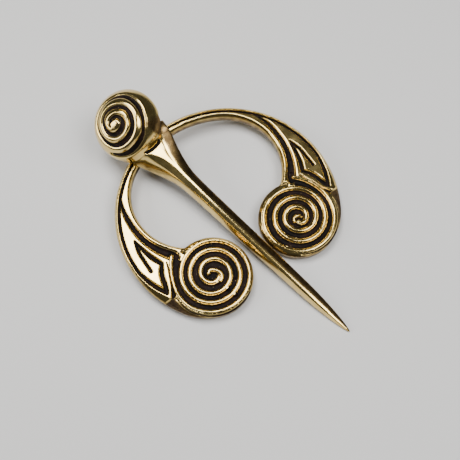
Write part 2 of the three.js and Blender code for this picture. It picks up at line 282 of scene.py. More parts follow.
def outer_line():
    """The line that follows the outer edge, from the hoop's top down to the leaf's tip."""
    angle = np.radians(np.linspace(90.5, -2, 26))
    hoop = np.column_stack([OUTER_LINE_RADIUS * np.cos(angle), OUTER_LINE_RADIUS * np.sin(angle),
                            np.linspace(0.17, 0.22, 26)])
    leaf = [[18.98, -1.6, 0.24], [18.7, -2.8, 0.27], [18.32, -4.0, 0.3], [17.88, -5.0, 0.3],
            [17.4, -6.0, 0.27], [17.12, -6.6, 0.2]]
    return knots_to_line(np.vstack([hoop, leaf]), 200)


# Carved lines of one half of the ring, as knots of (x, y, half-width).
CARVED_LINES = [
    outer_line(),
    # beside the inner bar, wider towards the terminal, with a blunt end in the corner
    knots_to_line([
        [14.6, 12.3, 0.16], [15.05, 11.1, 0.2], [15.35, 10, 0.26], [15.55, 8.6, 0.33],
        [15.62, 7, 0.36], [15.52, 5, 0.4], [15.15, 3.2, 0.43], [14.65, 1.8, 0.48],
        [13.95, 0.4, 0.55], [13.2, -0.7, 0.62], [12.62, -1.6, 0.62], [12.35, -2.1, 0.5],
    ], 90),
    # the V in the leaf
    knots_to_line([[16.72, 4.35, 0.12], [16.95, 3.2, 0.2], [17.2, 2, 0.22], [17.27, 0.3, 0.22],
                   [17.3, -1.8, 0.22]]),
    knots_to_line([[16.72, 4.35, 0.12], [16.5, 2.9, 0.2], [16.25, 1.7, 0.25], [15.85, 0.2, 0.3],
                   [15.4, -0.9, 0.3], [15.08, -1.7, 0.26]]),
    # the leaf's lower edge
    knots_to_line([[15.05, -1.7, 0.22], [15.5, -2.3, 0.3], [16.02, -3.1, 0.32], [16.35, -4, 0.32],
                   [16.6, -5, 0.32], [16.95, -6, 0.3], [17.15, -6.6, 0.2]]),
    # between the bar under the leaf and the spiral's outer end
    knots_to_line([[14.25, -2.0, 0.07], [14.6, -3.1, 0.1], [15.0, -4.1, 0.12], [15.35, -5, 0.14],
                   [15.75, -6, 0.17], [16.2, -7, 0.24], [16.7, -8.2, 0.5]]),
]


class Spiral:
    """A terminal's spiral ridge, for the half with x > 0: radius and half-width at each turn.

    Turns are counted anticlockwise from the direction of +y."""

    def __init__(self, centre, radii, widths, hook, beads):
        self.centre = np.array(centre)
        turns, radius = np.array(radii).T
        at, width = np.array(widths).T
        self.turns = np.linspace(turns[0], turns[-1], int(44 * (turns[-1] - turns[0])))
        rough = np.interp(self.turns, turns, radius)
        kernel = np.array([1, 2, 3, 4, 3, 2, 1]) / 16
        self.radii = np.convolve(np.pad(rough, 3, mode="reflect", reflect_type="odd"), kernel, "valid")
        angle = math.pi / 2 + TURN * self.turns
        self.path = self.centre + self.radii[:, None] * np.stack([np.cos(angle), np.sin(angle)], 1)
        self.widths = np.interp(self.turns, at, width)
        self.hook = knots_to_line(hook, 30)
        self.beads = beads

    def ridge(self, points):
        """Share of the full height of the ridge at each point (1 on its top, 0 on the floor),
        and how clean of soot it is."""
        best = np.zeros((2, len(points)))
        for path, widths in ((self.path, self.widths), self.hook):
            distance, width = nearest_on_path(points, path, widths)
            best = np.maximum(best, ridge_share(distance / width))
        return best

    def beyond(self, points):
        """How far a point lies outside the centreline of the outermost turn, and its direction."""
        away = points - self.centre
        angle = np.arctan2(away[:, 1], away[:, 0])
        share = np.mod((angle - math.pi / 2) / TURN, 1)
        last = self.turns[-1]
        turned = math.floor(last) + share
        turned = np.where(turned > last, turned - 1, turned)
        return np.linalg.norm(away, axis=1) - np.interp(turned, self.turns, self.radii), angle


def ridge_share(reach):
    """Height of a rounded ridge at a reach in half-widths (0 to 1), and how clean of soot it is."""
    return np.exp(-((reach / 1.1) ** 2.7)), np.exp(-((reach / 1.08) ** 7))


LEFT_SPIRAL = Spiral(
    (8.82, -8.2),
    [(0.42, 1.12), (0.5, 1.27), (0.75, 1.82), (1, 2.6), (1.25, 2.87), (1.5, 3.12), (1.75, 3.8),
     (2, 4.32), (2.25, 4.57), (2.5, 4.74), (2.75, 5.35), (3, 5.87), (3.25, 6.2), (3.5, 6.4),
     (3.61, 6.62), (3.68, 6.95), (3.75, 7.0), (3.795, 6.87), (3.827, 6.88), (3.864, 7.15),
     (3.895, 7.72), (3.91, 7.85)],
    [(0, 0.4), (3.6, 0.4), (3.75, 0.32), (3.86, 0.3), (3.91, 0.42)],
    [[9.45, -7.62, 0.3], [8.85, -7.35, 0.36], [8.15, -7.85, 0.36], [7.68, -8.7, 0.34],
     [7.85, -9.5, 0.3], [8.5, -9.95, 0.24]],
    [(9.1, -9.95, 0.24, 0.5), (8.25, -11.75, 0.27, 0.6), (7.8, -13.3, 0.3, 0.6), (6.2, -10.9, 0.2, 0.3)],
)
RIGHT_SPIRAL = Spiral(
    (9.2, -8.25),
    [(0.43, 0.95), (0.52, 1.36), (0.66, 1.45), (0.77, 1.72), (0.944, 2.03), (1.03, 2.17),
     (1.186, 2.32), (1.267, 2.36), (1.489, 2.6), (1.75, 3.42), (2, 3.93), (2.25, 4.17),
     (2.5, 4.48), (2.75, 5.02), (3, 5.8), (3.25, 6.15), (3.5, 6.27), (3.75, 6.6), (3.78, 6.67),
     (3.829, 6.82), (3.866, 7.1), (3.897, 7.45), (3.914, 7.6)],
    [(0, 0.42), (1.0, 0.46), (3.7, 0.46), (3.85, 0.42), (3.914, 0.4)],
    [[9.68, -8.5, 0.26], [9.45, -8.1, 0.32], [8.95, -7.92, 0.34], [8.4, -8.15, 0.32],
     [8.2, -8.6, 0.28]],
    [(8.72, -9.12, 0.4, 0.6), (13.3, -0.7, 0.16, 0.4), (14.6, 1.4, 0.14, 0.4),
     (15.4, 3.5, 0.14, 0.4), (15.6, 6.3, 0.13, 0.35), (7.6, -9.0, 0.16, 0.4),
     (5.7, -9.2, 0.17, 0.35), (6.6, -11.2, 0.16, 0.35), (4.5, -11.4, 0.2, 0.4),
     (15.6, -2.8, 0.13, 0.3), (16.1, -4.2, 0.12, 0.25)],
)


def ring_surface(points, inset, left):
    """Height of the carved face, its soot and its tarnish with painted shade (0 to 1), on the half with x >
    0.
    """
    spiral = LEFT_SPIRAL if left else RIGHT_SPIRAL
    x, y = points[:, 0], points[:, 1]
    near = np.hypot(x - 9, y + 8.3) < 9.5      # a circle that holds the whole terminal
    beyond = np.full(len(points), 9.0)
    angle = np.full(len(points), 1.0)
    ridge, clean = np.zeros((2, len(points)))
    beyond[near], angle[near] = spiral.beyond(points[near])
    ridge[near], clean[near] = spiral.ridge(points[near])

    cut, lines = np.zeros((2, len(points)))
    for path, widths in CARVED_LINES:
        low, high = path.min(0) - 1, path.max(0) + 1
        close = ((points > low) & (points < high)).all(1)
        distance, width = nearest_on_path(points[close], path, widths)
        cut[close] = np.maximum(cut[close], np.exp(-((distance / (width * 1.15)) ** 3)))
        lines[close] = np.maximum(lines[close], np.exp(-((distance / (width * 1.08)) ** 6)))
    arm = -CARVING_DEPTH * cut

    # outside the spiral, below the leaf and beside the hoop's inner edge, a sloping border
    apron = -0.05 - 0.27 * np.clip(beyond, 0, 1.6)
    line = np.exp(-(((beyond - 0.6) / 0.12) ** 2)) * smoothstep(0.1, -0.3, angle)
    line *= smoothstep(-2.3, -1.9, angle)
    apron -= 0.16 * line
    on_arm = smoothstep(-8.0, -7.55, y) * np.maximum(
        smoothstep(math.radians(73), math.radians(67), angle) * (angle > -0.4),
        smoothstep(0.8, 1.3, beyond))
    border = on_arm * arm + (1 - on_arm) * apron
    outside = smoothstep(0.0, 0.3, beyond)
    floor = border * outside - CARVING_DEPTH * (1 - outside)
    height = np.maximum(floor, -CARVING_DEPTH * (1 - ridge))
    for bx, by, size, rise in spiral.beads:
        gap = np.hypot(x - bx, y - by)
        height += np.minimum(rise * np.exp(-((gap / size) ** 4)), np.maximum(-0.06 - height, 0))
    hollow = smoothstep(0.5, 1.2, beyond) * (1 - on_arm)
    outer = on_arm * lines + (1 - on_arm) * np.maximum(0.42 * hollow, 0.9 * line)
    soot = (outer * outside + 1 - outside) * (1 - clean)

    # the edge: a round, which grows into a broad bevel outside the leaf
    broad = smoothstep(3.0, -6.5, y) * smoothstep(14.5, 16.5, x)
    width = EDGE_ROUND + 0.75 * broad
    bevel = np.clip(1 - inset / width, 0, 1)
    height = height * smoothstep(-0.1, 0.45, inset) - (EDGE_ROUND + 0.2 * broad) * bevel ** 2
    # the sloping border outside the spiral and the broad bevel get tarnish that is partly painted shade of
    # their sloping faces
    tarnish_and_painted_shade = np.maximum((1 - on_arm) * smoothstep(0.35, 1.0, beyond) * 0.8,
                         smoothstep(0.3, 1.1, bevel) * 0.6)
    return height, soot, tarnish_and_painted_shade


# ------------------------------------------------------------------ the ring's mesh

def folded(points):
    """Points with the left half of the ring turned over onto the right one."""
    return np.stack([np.abs(points[:, 0]), points[:, 1]], 1)


def ring_face(points, inset):
    """Height, soot and tarnish with painted shade of the face on both halves, with the casting's unevenness.
    """
    result = np.empty((3, len(points)))
    for left in (False, True):
        side = (points[:, 0] < 0) == left
        result[:, side] = ring_surface(folded(points[side]), inset[side], left)
    height, soot, tarnish_and_painted_shade = result
    height += 0.01 * ripple(points, 3.2, seed=3) + 0.002 * ripple(points, 0.9, seed=5) - 0.015
    height += 0.012 * soot * ripple(points, 0.4, seed=4)
    return np.minimum(height, 0), soot, tarnish_and_painted_shade


def face_normals(points, inset, inward):
    """The face's exact normals, from the carving itself and not from the mesh."""
    slopes = []
    for axis in np.eye(2):
        towards = (inward * axis).sum(1)
        ahead = ring_face(points + axis * SLOPE_STEP, inset + towards * SLOPE_STEP)[0]
        behind = ring_face(points - axis * SLOPE_STEP, inset - towards * SLOPE_STEP)[0]
        slopes.append((ahead - behind) / (2 * SLOPE_STEP))
    return np.column_stack([-slopes[0], -slopes[1], np.ones(len(points))])


def ring_cells(outline):
    """A square grid over the ring that ends RIM_START inside the outline: its points and faces,
    and for each point its inset, the nearest place on the outline and the way inward."""
    half = int((RING_RADIUS + 0.3) / RING_GRID) + 1
    xs = np.arange(-half, half + 1) * RING_GRID
    ys = np.arange(outline[:, 1].min() - RING_GRID, outline[:, 1].max() + 2 * RING_GRID, RING_GRID)
    columns, rows = len(xs), len(ys)
    grid = np.stack(np.meshgrid(xs, ys), -1).reshape(-1, 2)

    # distances are worked out on the right half and mirrored to the left one
    right = grid[:, 0] >= -1e-9
    signed = np.empty(len(grid))
    place = np.empty_like(grid)
    signed[right], place[right] = signed_distance(grid[right], outline)
    opposite = (np.arange(rows)[:, None] * columns + np.arange(columns)[::-1]).ravel()
    signed[~right] = signed[opposite][~right]
    place[~right] = place[opposite][~right] * [-1, 1]

    # points near the line move onto it
    inward = (grid - place) / np.where(np.abs(signed) < 1e-9, 1, signed)[:, None]
    snapped = np.abs(signed - RIM_START) < 0.5 * RING_GRID
    points = np.where(snapped[:, None], place + inward * RIM_START, grid)
    inset = np.where(snapped, RIM_START, signed)
    state = np.where(snapped, 0, np.where(signed > RIM_START, 1, -1))

    # a cell is kept whole where no corner lies outside, and as a triangle where one does
    index = np.arange(rows * columns).reshape(rows, columns)
    corners = np.stack([index[:-1, :-1], index[:-1, 1:], index[1:, 1:], index[1:, :-1]], -1)
    corners = corners.reshape(-1, 4)
    states = state[corners]
    middle_inside = signed[corners].mean(1) > RIM_START
    whole = (states >= 0).all(1) & ((states > 0).any(1) | middle_inside)
    cut = ((states < 0).sum(1) == 1) & (states > 0).any(1)
    faces = [tuple(cell) for cell in corners[whole]]
    for cell, flags in zip(corners[cut], states[cut]):
        faces.append(tuple(v for v, flag in zip(cell, flags) if flag >= 0))

    used = np.unique(np.concatenate(faces))
    number = np.full(len(grid), -1)
    number[used] = np.arange(len(used))
    faces = [tuple(number[list(face)]) for face in faces]
    return points[used], faces, inset[used], place[used], inward[used]


def border_loop(faces):
    """The longest closed run of edges that have a face on one side only."""
    edges = dict.fromkeys((a, b) for face in faces for a, b in zip(face, face[1:] + face[:1]))
    onward = {a: b for a, b in edges if (b, a) not in edges}
    loops = []
    while onward:
        start, current = onward.popitem()
        loop = [start]
        while current != start:
            loop.append(current)
            current = onward.pop(current)
        loops.append(loop)
    return np.array(max(loops, key=len))


def edge_drop(inset):
    """Height of the round edge at an inset, counted from its height at RIM_START."""
    return -EDGE_ROUND * (1 - inset / EDGE_ROUND) ** 2 + EDGE_ROUND * (1 - RIM_START / EDGE_ROUND) ** 2


def back_mesh(border, outline):
    """Triangles that fill the border: their points, and for each the border points it stands for."""
    gx, gy = np.meshgrid(np.arange(-20, 20, BACK_GRID), np.arange(-16, 20.5, BACK_GRID))
    inner = np.column_stack([gx.ravel(), gy.ravel()])
    depth, _ = signed_distance(folded(inner), outline)
    inner = inner[depth > 1.1]
    edges = [(i, (i + 1) % len(border)) for i in range(len(border))]
    given = [Vector(p) for p in np.vstack([border, inner])]
    points, _, triangles, sources = delaunay_2d_cdt(given, edges, [], 1, 1e-7)[:4]
    stands_for = [[s for s in source if s < len(border)] for source in sources]
    return np.array([tuple(p) for p in points]), triangles, stands_for


def build_ring():
    outline = ring_outline()
    flat, faces, inset, place, inward = ring_cells(outline)
    height, soot, tarnish_and_painted_shade = ring_face(flat, inset)
    vertices, soots, tarnish_and_painted_shade_rows = [np.column_stack([flat, height])], [soot], [tarnish_and_painted_shade]
    count = len(flat)

    # round edge, side wall and the round edge of the back
    loop = border_loop(faces)
    rows = [(step_in, height[loop] + edge_drop(step_in), brown) for step_in, brown in EDGE_ROWS]
    rows += [(step_in, np.full(len(loop), z), brown) for step_in, z, brown in WALL_ROWS]
    previous = loop
    for level, (step_in, z, brown) in enumerate(rows):
        vertices.append(np.column_stack([place[loop] + inward[loop] * step_in, z]))
        soots.append(soot[loop] * max(0, 1 - 0.5 * level))
        # the edge and wall rows take tarnish that is also painted shade of the side walls
        tarnish_and_painted_shade_rows.append(np.maximum(tarnish_and_painted_shade[loop], brown))
        current = np.arange(count, count + len(loop))
        faces += zip(np.roll(previous, -1), previous, current, np.roll(current, -1))
        count += len(loop)
        previous = current

    # plain back, gently uneven
    back, triangles, stands_for = back_mesh(vertices[-1][:, :2], outline)
    lift = BACK_UNEVENNESS * (1 + ripple(back, 5, seed=8)) / 2
    added = [i for i, border_points in enumerate(stands_for) if not border_points]
    number = {i: previous[border_points[0]] for i, border_points in enumerate(stands_for) if border_points}
    number.update({i: count + k for k, i in enumerate(added)})
    vertices.append(np.column_stack([back[added], np.maximum(0, lift[added]) - RING_THICKNESS]))
    soots.append(np.zeros(len(added)))
    # the back takes tarnish that is also painted shade on the underside
    tarnish_and_painted_shade_rows.append(np.full(len(added), BACK_TARNISH_AND_PAINTED_SHADE))
    faces += [tuple(number[v] for v in reversed(triangle)) for triangle in triangles]
    count += len(added)

    exact = np.zeros(count)
    exact[:len(flat)] = smoothstep(0.13, 0.2, inset)
    normals = np.zeros((count, 3))
    normals[:len(flat)] = face_normals(flat, inset, inward)
    return make_object("ring_cast", np.vstack(vertices), faces, RING_PLACE, normals, exact,
                       {"soot": np.concatenate(soots), "tarnish_and_painted_shade": np.concatenate(tarnish_and_painted_shade_rows)})


def make_object(name, vertices, faces, place, normals, exact, attributes):
    """A smooth mesh; where exact is 1 its shading follows the given normals of the form."""
    mesh = bpy.data.meshes.new(name)
    mesh.from_pydata([tuple(v) for v in vertices], [], [tuple(int(i) for i in f) for f in faces])
    mesh.validate()
    mesh.transform(place)
    turn = np.array(place.to_3x3()) / MM
    own = np.empty(len(vertices) * 3, np.float32)
    mesh.vertex_normals.foreach_get("vector", own)
    own = own.reshape(-1, 3)
    wanted = normals @ turn.T
    wanted /= np.maximum(np.linalg.norm(wanted, axis=1), 1e-9)[:, None]
    blended = own * (1 - exact)[:, None] + wanted * exact[:, None]
    blended /= np.maximum(np.linalg.norm(blended, axis=1), 1e-9)[:, None]
    for key, values in attributes.items():
        attribute = mesh.attributes.new(key, "FLOAT", "POINT")
        attribute.data.foreach_set("value", values.astype(np.float32))
    mesh.shade_smooth()
    mesh.update()
    mesh.normals_split_custom_set_from_vertices([tuple(v) for v in blended])
    thing = bpy.data.objects.new(name, mesh)
    bpy.context.scene.collection.objects.link(thing)
    return thing


# ------------------------------------------------------------------ the pin's form

# Section of the neck and shank at a few places x. Its top is a face that slopes down to the right
# (+y), first gently and then more steeply.
NECK_KNOTS = np.array([
    # x, left edge of the face, where its slope steepens, its right edge, height of its left edge
    [1.6, -0.80, -0.78, 2.60, 2.62],
    [2.3, -0.78, -0.74, 2.35, 2.36],
    [3.4, -0.73, -0.05, 2.00, 2.12],
    [4.5, -0.68, 0.42, 1.65, 1.97],
    [5.8, -0.55, 0.64, 1.33, 1.84],
    [7.1, -0.46, 0.73, 1.10, 1.76],
    [8.5, -0.40, 0.70, 1.00, 1.71],
    [10.0, -0.34, 0.66, 0.92, 1.68],
    [13.5, -0.10, 0.60, 0.82, 1.63],
    [20.0, 0.00, 0.49, 0.65, 1.52],
    [30.0, -0.05, 0.29, 0.40, 1.38],
    [41.0, -0.08, 0.15, 0.22, 1.20],
    [49.0, -0.05, 0.06, 0.10, 1.10],
])
FACE_SLOPE = 0.19
STEEP_SLOPE = 0.43
KNOT_BLUR = (-0.8, -0.4, 0, 0.4, 0.8)      # offsets in x over which the knots are averaged


def soft_ramp(x):
    """Nearly nought below x = 0 and nearly x above it."""
    return np.log(1 + np.exp(x))


def pin_section(x, y):
    """Sizes of the neck and shank at x: half-width, height of the waist, bottom, and the face's
    left edge, the place where it steepens, its right edge and the height of its left edge."""
    left = np.clip((PIN_REACH - x) / 12, 0, 1)
    taper = (1 - (1 - left) ** 2) ** 0.65
    drawn = 1 - smoothstep(0.8, 3.2, x)
    plain = (1.85 - 0.0145 * x) * taper
    # on the left the neck's underside is drawn up over the hoop sooner than on the right
    right_side = smoothstep(-0.3, 2.2, y)
    raised = drawn * (1 - right_side) + (1 - smoothstep(-0.8, 2.0, x)) * right_side
    waist = (DOME_BASE + 0.2) * raised
    half_width = plain + 0.33 * soft_ramp(9.5 - x) * taper - 0.3 * drawn
    bottom = waist * raised - 0.92 * plain * (1 - raised)
    at, *columns = NECK_KNOTS.T
    face = [sum(np.interp(x + step, at, column) for step in KNOT_BLUR) / len(KNOT_BLUR) * taper
            for column in columns]
    return half_width, waist, bottom, *face


# The carved line that winds round the dome, as knots of (x, y, half-width) in a flat map about
# the dome's pole. There a distance from the pole is the one along the surface.
DOME_LINE = knots_to_line([
    [0.05, -1.3, 0.1], [-0.45, -1.15, 0.2], [-0.75, -0.6, 0.3], [-0.72, 0.1, 0.32],
    [-0.4, 0.7, 0.36], [0.2, 0.98, 0.4], [0.85, 0.98, 0.42], [1.4, 0.65, 0.45],
    [1.75, 0.0, 0.48], [1.87, -0.75, 0.5], [1.6, -1.75, 0.48], [0.95, -2.4, 0.43],
    [0.0, -2.65, 0.42], [-1.05, -2.35, 0.38], [-1.95, -1.75, 0.34], [-2.45, -1.0, 0.32],
    [-2.63, 0.0, 0.32], [-2.45, 1.0, 0.35], [-1.85, 1.95, 0.38], [-0.95, 2.65, 0.42],
    [0.0, 2.95, 0.43], [1.05, 2.85, 0.42], [2.05, 2.3, 0.42], [2.9, 1.55, 0.4],
    [3.4, 0.7, 0.43], [3.62, -0.2, 0.5], [3.65, -1.2, 0.52], [3.4, -2.4, 0.54],
    [2.9, -3.4, 0.5], [2.05, -4.2, 0.47], [1.0, -4.55, 0.45], [0.0, -4.6, 0.44],
    [-1.05, -4.4, 0.4], [-2.1, -4.0, 0.36], [-3.0, -3.35, 0.33], [-3.9, -2.35, 0.33],
    [-4.5, -1.0, 0.34], [-4.7, 0.3, 0.34], [-4.6, 1.4, 0.36], [-4.25, 2.6, 0.4],
    [-3.6, 3.7, 0.46], [-2.7, 4.5, 0.5], [-1.6, 4.95, 0.5], [-0.5, 5.05, 0.5],
    [0.6, 5.0, 0.46], [1.6, 4.75, 0.41], [2.4, 4.4, 0.37], [3.2, 3.95, 0.33],
    [4.0, 3.3, 0.29], [4.7, 2.5, 0.28], [5.3, 1.7, 0.33], [5.65, 0.7, 0.42],
    [5.8, -0.4, 0.5], [5.8, -1.6, 0.55], [5.6, -3.0, 0.55], [5.1, -4.3, 0.55],
    [4.3, -5.4, 0.5], [3.2, -6.2, 0.42], [2.2, -6.7, 0.25],
], 260)


def dome_map(away):
    """Place in the flat map of points given round the dome's centre."""
    across = np.array([1.0, 0, 0]) - DOME_POLE * DOME_POLE[0]
    across /= np.linalg.norm(across)
    up = np.cross(DOME_POLE, across)
    radius = np.maximum(np.linalg.norm(away, axis=-1), 1e-6)
    polar = np.arccos(np.clip(away @ DOME_POLE / radius, -1, 1)) * DOME_RADIUS
    x, y = away @ across, away @ up
    length = np.maximum(np.hypot(x, y), 1e-9)
    return np.stack([x / length * polar, y / length * polar], -1)


def dome_carving(away):
    """How far the dome is cut down at points round its centre (0 to 1), and its soot."""
    distance, width = nearest_on_path(dome_map(away), *DOME_LINE)
    cut = np.exp(-((distance / (width * 1.22)) ** 2.5))
    soot = np.exp(-((distance / (width * 1.02)) ** 6))
    return cut, soot


def shank_field(x, y, z):
    """Distance-like field of the neck and shank, and how far out a point is on their right and
    left flank (0 at the face's edge, 1 at the waist)."""
    half_width, waist, bottom, face_left, face_turn, face_right, high = pin_section(
        np.clip(x, -0.5, PIN_REACH - 0.02), y)

    # the face, slightly dished near the dome
    across = np.clip(y, face_left, face_right)
    gentle = high - FACE_SLOPE * (across - face_left)
    steep = high - FACE_SLOPE * (face_turn - face_left) - STEEP_SLOPE * (across - face_turn)
    dish = 0.07 * smoothstep(8, 4, x) * np.sin(
        math.pi * np.clip((across - face_turn) / np.maximum(face_right - face_turn, 0.1), 0, 1))
    rise = np.maximum(soft_min(gentle, steep, 0.04) - dish - waist, 0.04)

    # a flank from each edge down to the waist; the right one widens towards the dome
    wide = half_width + 0.16 * soft_ramp((4.2 - x) * 1.2)
    right = np.maximum(y - face_right, 0) / np.maximum(wide - face_right, 0.03)
    left = np.maximum(face_left - y, 0) / np.maximum(half_width + face_left, 0.03)
    flank = np.maximum(right, left)
    above = np.maximum(z - waist, 0)
    power = 1.25
    upper = ((flank ** power + (above / rise) ** power) ** (1 / power) - 1) * rise

    # a half-ellipse below the waist
    drop = np.maximum(waist - bottom, 0.04)
    side = y / np.where(y > 0, wide, half_width)
    below = np.minimum(z - waist, 0) / drop
    lower = (np.hypot(side, below) - 1) * np.minimum(half_width, drop)

    field = soft_max(soft_max(upper, lower, 0.05), -0.5 - x, 0.3)
    return np.maximum(field, x - PIN_REACH), right, left


def loop_field(x, y, z):
    """Distance-like field of the loop round the hoop and of the keel above it."""
    along, up = x - LOOP_CENTRE.x, z - LOOP_CENTRE.z
    half = LOOP_THICKNESS / 2
    reach = np.hypot(along, up) - LOOP_HOLE_RADIUS - half
    loop = (np.hypot(reach / half, y / (LOOP_WIDTH / 2)) - 1) * LOOP_THICKNESS / 2
    keel = np.sqrt((along / KEEL_LENGTH) ** 2 + (y / KEEL_WIDTH) ** 2
                   + ((z - KEEL_HEIGHT) / KEEL_DEPTH) ** 2)
    return soft_min(loop, (keel - 1) * KEEL_DEPTH, 0.35)


def pin_field(points):
    """Distance-like field of the whole pin, negative inside, and its soot and its tarnish with painted shade.
    """
    x, y, z = points[:, 0], points[:, 1], points[:, 2]
    away = points - DOME_CENTRE
    sphere = np.linalg.norm(away, axis=1) - DOME_RADIUS
    carving, soot = np.zeros((2, len(points)))
    shell = (np.abs(sphere + 0.3) < 0.75) & (z > 0.6)
    carving[shell], soot[shell] = dome_carving(away[shell])
    sphere = sphere + DOME_CARVING_DEPTH * carving
    dome = soft_max(sphere, DOME_BASE - z, 0.5)
    shank, right, left = shank_field(x, y, z)

    dome_side = np.maximum(sphere, DOME_BASE - z)
    groove = np.exp(-(dome_side ** 2 + shank ** 2) / GROOVE_WIDTH ** 2)
    groove *= smoothstep(0.3, 0.8, z) * smoothstep(-1.1, -0.6, y) * smoothstep(-2.0, 0.0, x)
    joint = 0.12 + 0.2 * smoothstep(2.2, 1.0, z)
    top = soft_min(dome, shank, joint) + GROOVE_DEPTH * groove
    field = soft_min(top, loop_field(x, y, z), 0.45)

    on_dome = smoothstep(0.25, 0.0, np.abs(dome_side)) * (dome_side < shank + 0.05)
    # the flanks of the neck and shank are browner than the face: tarnish and painted shade, most on the right
    # flank, which faces away from the light, and on the underside
    tarnish_and_painted_shade = 0.8 * smoothstep(0.02, 0.4, right) * smoothstep(-1.5, 0.0, x)
    tarnish_and_painted_shade = np.maximum(tarnish_and_painted_shade, 0.5 * smoothstep(0.3, 1.0, left) * smoothstep(1.5, 3.5, x))
    tarnish_and_painted_shade = np.maximum(tarnish_and_painted_shade, 0.8 * smoothstep(0.6, -0.8, z))
    return field, np.maximum(soot * on_dome, smoothstep(0.12, 0.45, groove)), tarnish_and_painted_shade


def pin_slope(points):
    """Slope of the pin's field, which points outward."""
    return np.stack([
        (pin_field(points + offset)[0] - pin_field(points - offset)[0]) / (2 * FIELD_STEP)
        for offset in np.eye(3) * FIELD_STEP
    ], -1)


def build_pin():
    low = np.array([-10.8, -7.0, LOOP_CENTRE.z - 4.0])
    high = np.array([PIN_REACH + 0.5, 7.3, 7.0])
    head_cells = int((PIN_HEAD_END - low[0]) / PIN_VOXEL)
    shank_cells = int((high[0] - PIN_HEAD_END) / (PIN_VOXEL * PIN_STRETCH)) + 1 + PIN_EASING

    def true_x(cell):
        """Place along the pin, as cells are longer along the plain shank than on the head."""
        past = cell - head_cells
        easing = 1 - np.exp(-np.maximum(past, 0) / PIN_EASING)
        stretched = past * PIN_STRETCH - (PIN_STRETCH - 1) * PIN_EASING * easing
        return PIN_HEAD_END + np.where(past > 0, stretched, past) * PIN_VOXEL

    xs = true_x(np.arange(head_cells + shank_cells + 1).astype(float))
    ys = np.arange(low[1], high[1], PIN_VOXEL)
    zs = np.arange(low[2], high[2], PIN_VOXEL)
    values = np.empty((len(xs), len(ys), len(zs)), np.float32)
    slab = 12                        # planes worked out at a time, to spare memory
    for first in range(0, len(xs), slab):
        block = np.stack(np.meshgrid(xs[first:first + slab], ys, zs, indexing="ij"), -1)
        values[first:first + slab] = pin_field(block.reshape(-1, 3))[0].reshape(block.shape[:3])
    grid = openvdb.FloatGrid(1.0)
    grid.copyFromArray(np.clip(values, -1, 1))
    places, quads = (np.asarray(part) for part in grid.convertToQuads(0.0))
    places = places.astype(float)
    points = np.column_stack([true_x(places[:, 0]), low[1] + places[:, 1] * PIN_VOXEL,
                              low[2] + places[:, 2] * PIN_VOXEL])

    # the points move onto the form itself
    for _ in range(3):
        slope = pin_slope(points)
        move = pin_field(points)[0] / np.maximum((slope ** 2).sum(1), 0.05)
        points -= slope * np.clip(move, -0.1, 0.1)[:, None]
    _, soot, tarnish_and_painted_shade = pin_field(points)

    # the faces have to look outward
    a, b, c = (points[quads[:, k]] for k in range(3))
    if np.einsum("ij,ij->i", a, np.cross(b, c)).sum() < 0:
        quads = quads[:, ::-1]
    return make_object("pin_cast", points, quads, PIN_PLACE, pin_slope(points),
                       np.full(len(points), 0.9), {"soot": soot, "tarnish_and_painted_shade": tarnish_and_painted_shade})


# ------------------------------------------------------------------ materials

GOLD = (0.80, 0.60, 0.225), (0.70, 0.50, 0.165)
# BROWN is the colour of the tarnish and painted shade
BROWN = (0.20, 0.125, 0.05), (0.11, 0.07, 0.03)
SOOT = (0.0025, 0.0015, 0.0012), (0.014, 0.006, 0.004)
SPECK = (0.3, 0.2, 0.09)

